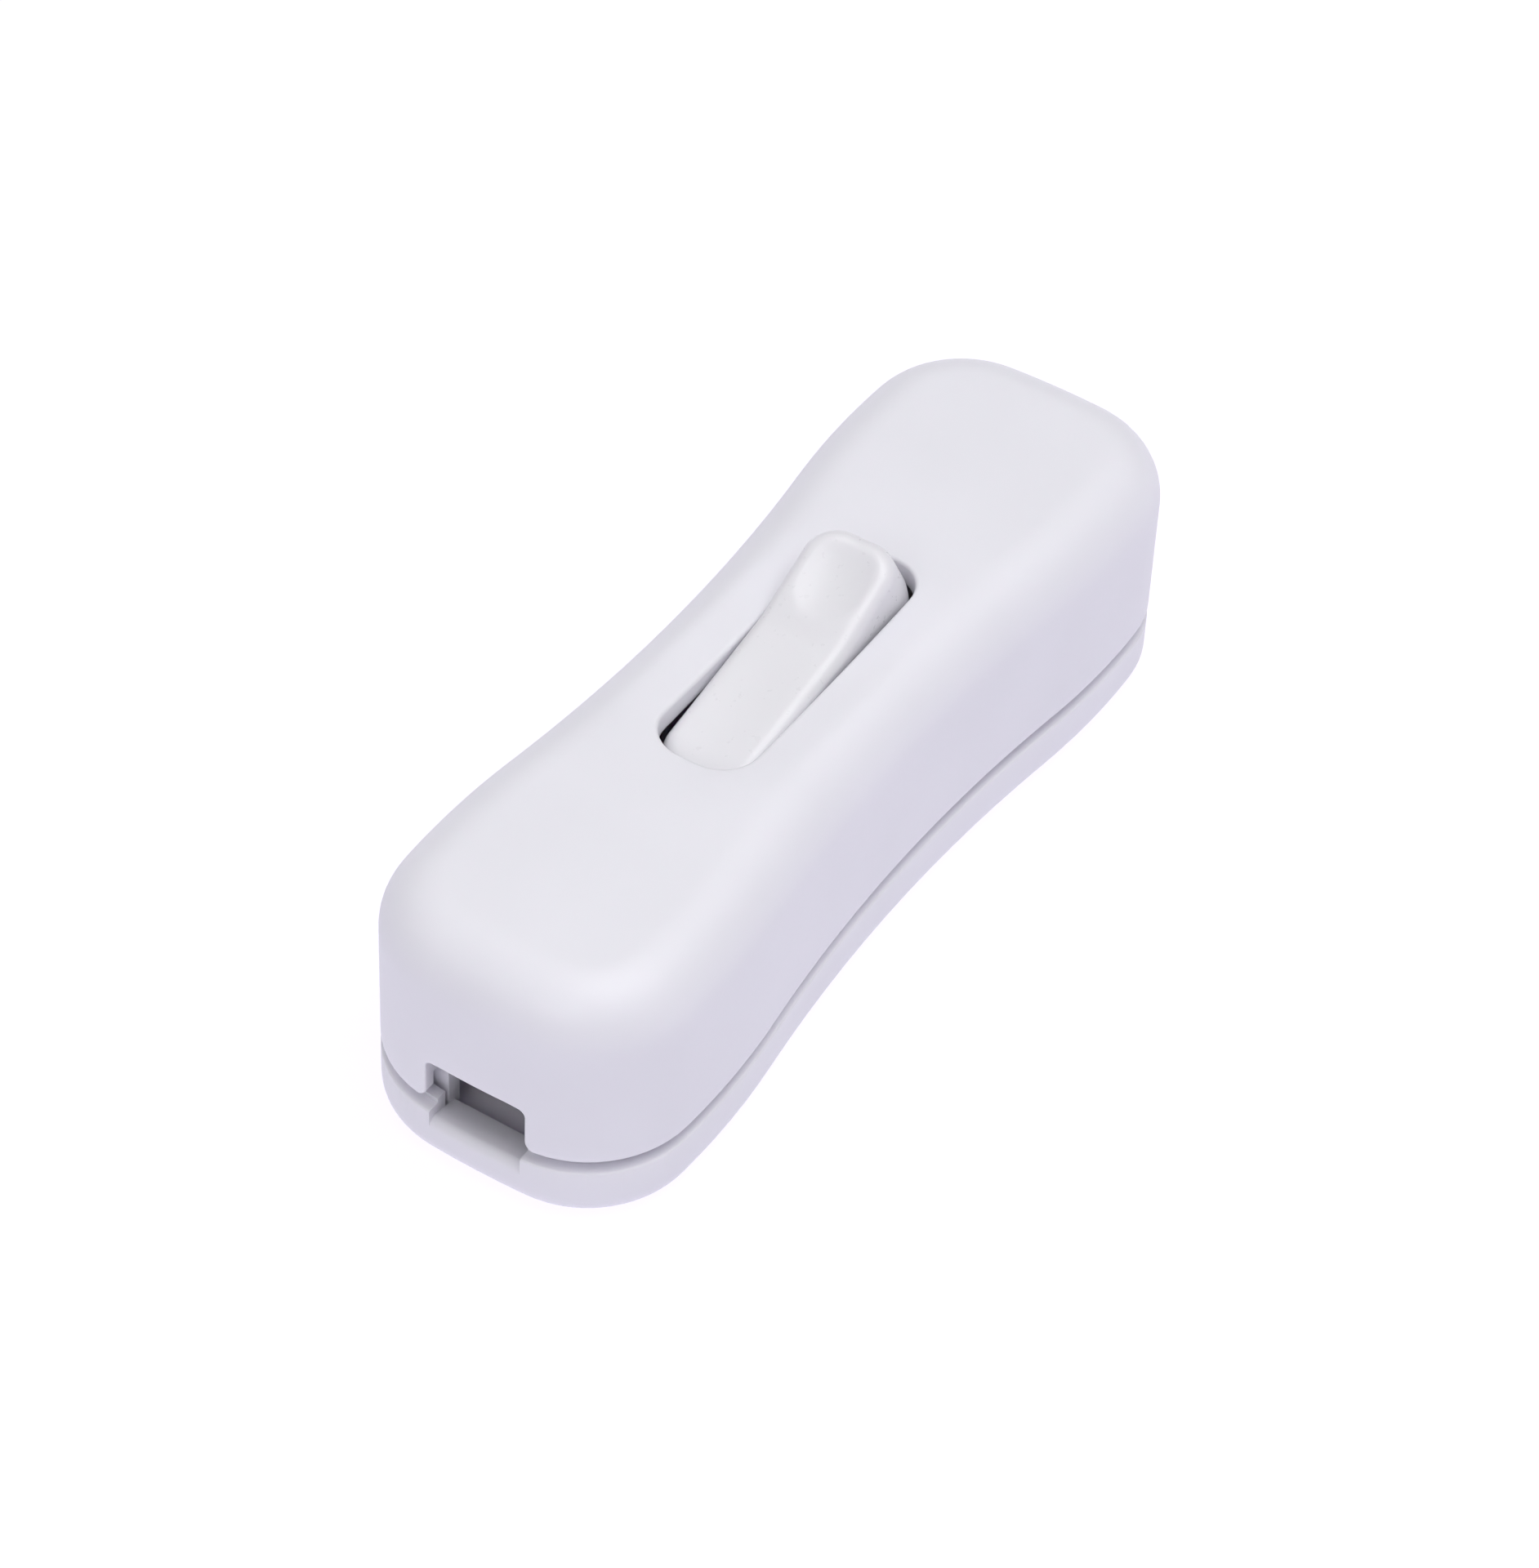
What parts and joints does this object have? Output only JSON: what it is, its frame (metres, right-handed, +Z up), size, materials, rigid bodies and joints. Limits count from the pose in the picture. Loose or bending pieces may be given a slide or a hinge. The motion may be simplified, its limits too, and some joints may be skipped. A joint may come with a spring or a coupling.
{
  "type": "inline cord switch",
  "caption": "Small waisted white housing in two halves with a rocker in its top, spliced into a lamp cord to switch one conductor.",
  "frame": {"origin": "middle of the flat bottom face", "axes": "+X along the body to the end whose half of the rocker stands up at rest, +Z up out of the rocker"},
  "size_m": [0.06, 0.019, 0.0194],
  "materials": {
    "housing": "satin",
    "rocker": "gloss",
    "spring_steel": "satin",
    "bridge_metal": "satin",
    "contact_silver": "satin",
    "brass": "satin",
    "clamp_nylon": "matte",
    "screw_steel": "zinc plated"
  },
  "bodies": {
    "housing": {"base_shell": "housing", "top_cover": "housing", "fixed_contact_tip": "contact_silver", "common_terminal": "brass", "load_terminal": "brass", "through_terminal": "brass", "near_cord_clamp": "clamp_nylon", "far_cord_clamp": "clamp_nylon", "common_terminal_screw": "screw_steel", "load_terminal_screw": "screw_steel", "through_terminal_screw_near": "screw_steel", "through_terminal_screw_far": "screw_steel", "near_clamp_screw_left": "screw_steel", "near_clamp_screw_right": "screw_steel", "far_clamp_screw_left": "screw_steel", "far_clamp_screw_right": "screw_steel", "case_screw_near": "screw_steel", "case_screw_far": "screw_steel"},
    "rocker": {"rocker": "rocker", "plunger_spring": "spring_steel"},
    "plunger": {"contact_plunger": "brass"},
    "bridge": {"contact_bridge": "bridge_metal", "moving_contact_tip": "contact_silver"}
  },
  "joints": [
    {"name": "rocker_tilt", "type": "hinge", "parent": "housing", "child": "rocker", "pos_m": [0, 0, 0.013], "axis": [0, 1, 0], "range_deg": [0, 33]},
    {"name": "bridge_tilt", "type": "hinge", "parent": "housing", "child": "bridge", "pos_m": [0, 0, 0.00719], "axis": [0, 1, 0], "range_deg": [-16, 0]},
    {"name": "plunger_slide", "type": "slide", "parent": "rocker", "child": "plunger", "axis": [-0.284, 0, 0.9588], "range_m": [0, 0.0009], "stiffness_N_per_m": 600, "deforming": ["plunger_spring"]}
  ],
  "couplings": [
    {"joint": "bridge_tilt", "follows": "rocker_tilt", "ratio": -0.48485}
  ]
}
